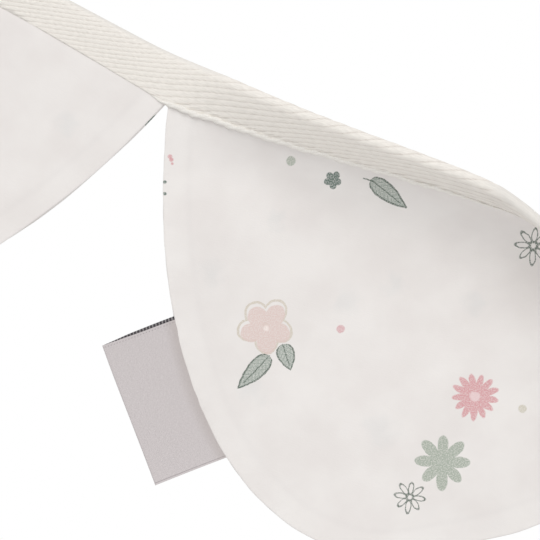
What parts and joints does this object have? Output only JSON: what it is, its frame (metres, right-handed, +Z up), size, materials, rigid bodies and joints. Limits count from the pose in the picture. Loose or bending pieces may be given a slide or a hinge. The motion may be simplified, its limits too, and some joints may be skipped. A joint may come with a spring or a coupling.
{
  "type": "bunting",
  "caption": "Cotton bunting: petal-shaped flags hung in a swag from a folded twill tape, with a small folded label in one seam.",
  "frame": {"origin": "the top edge of the tape at its left end", "axes": "+X along the bunting to its right end, +Z up, -Y out of its front face"},
  "size_m": [1.6783, 0.0365, 0.4149],
  "materials": {
    "tape_twill": "off-white cotton twill tape, raised diagonal ribs, matt",
    "flag_cotton": "fine plain-weave cotton, off-white, with small printed flowers on one layer, matt",
    "label_satin": "grey-mauve woven satin, blank, soft sheen"
  },
  "bodies": {
    "root": {"tape": "tape_twill", "flag_1": "flag_cotton", "flag_2": "flag_cotton", "flag_3": "flag_cotton", "flag_4": "flag_cotton", "flag_5": "flag_cotton", "flag_6": "flag_cotton", "flag_7": "flag_cotton", "label": "label_satin"}
  },
  "joints": []
}
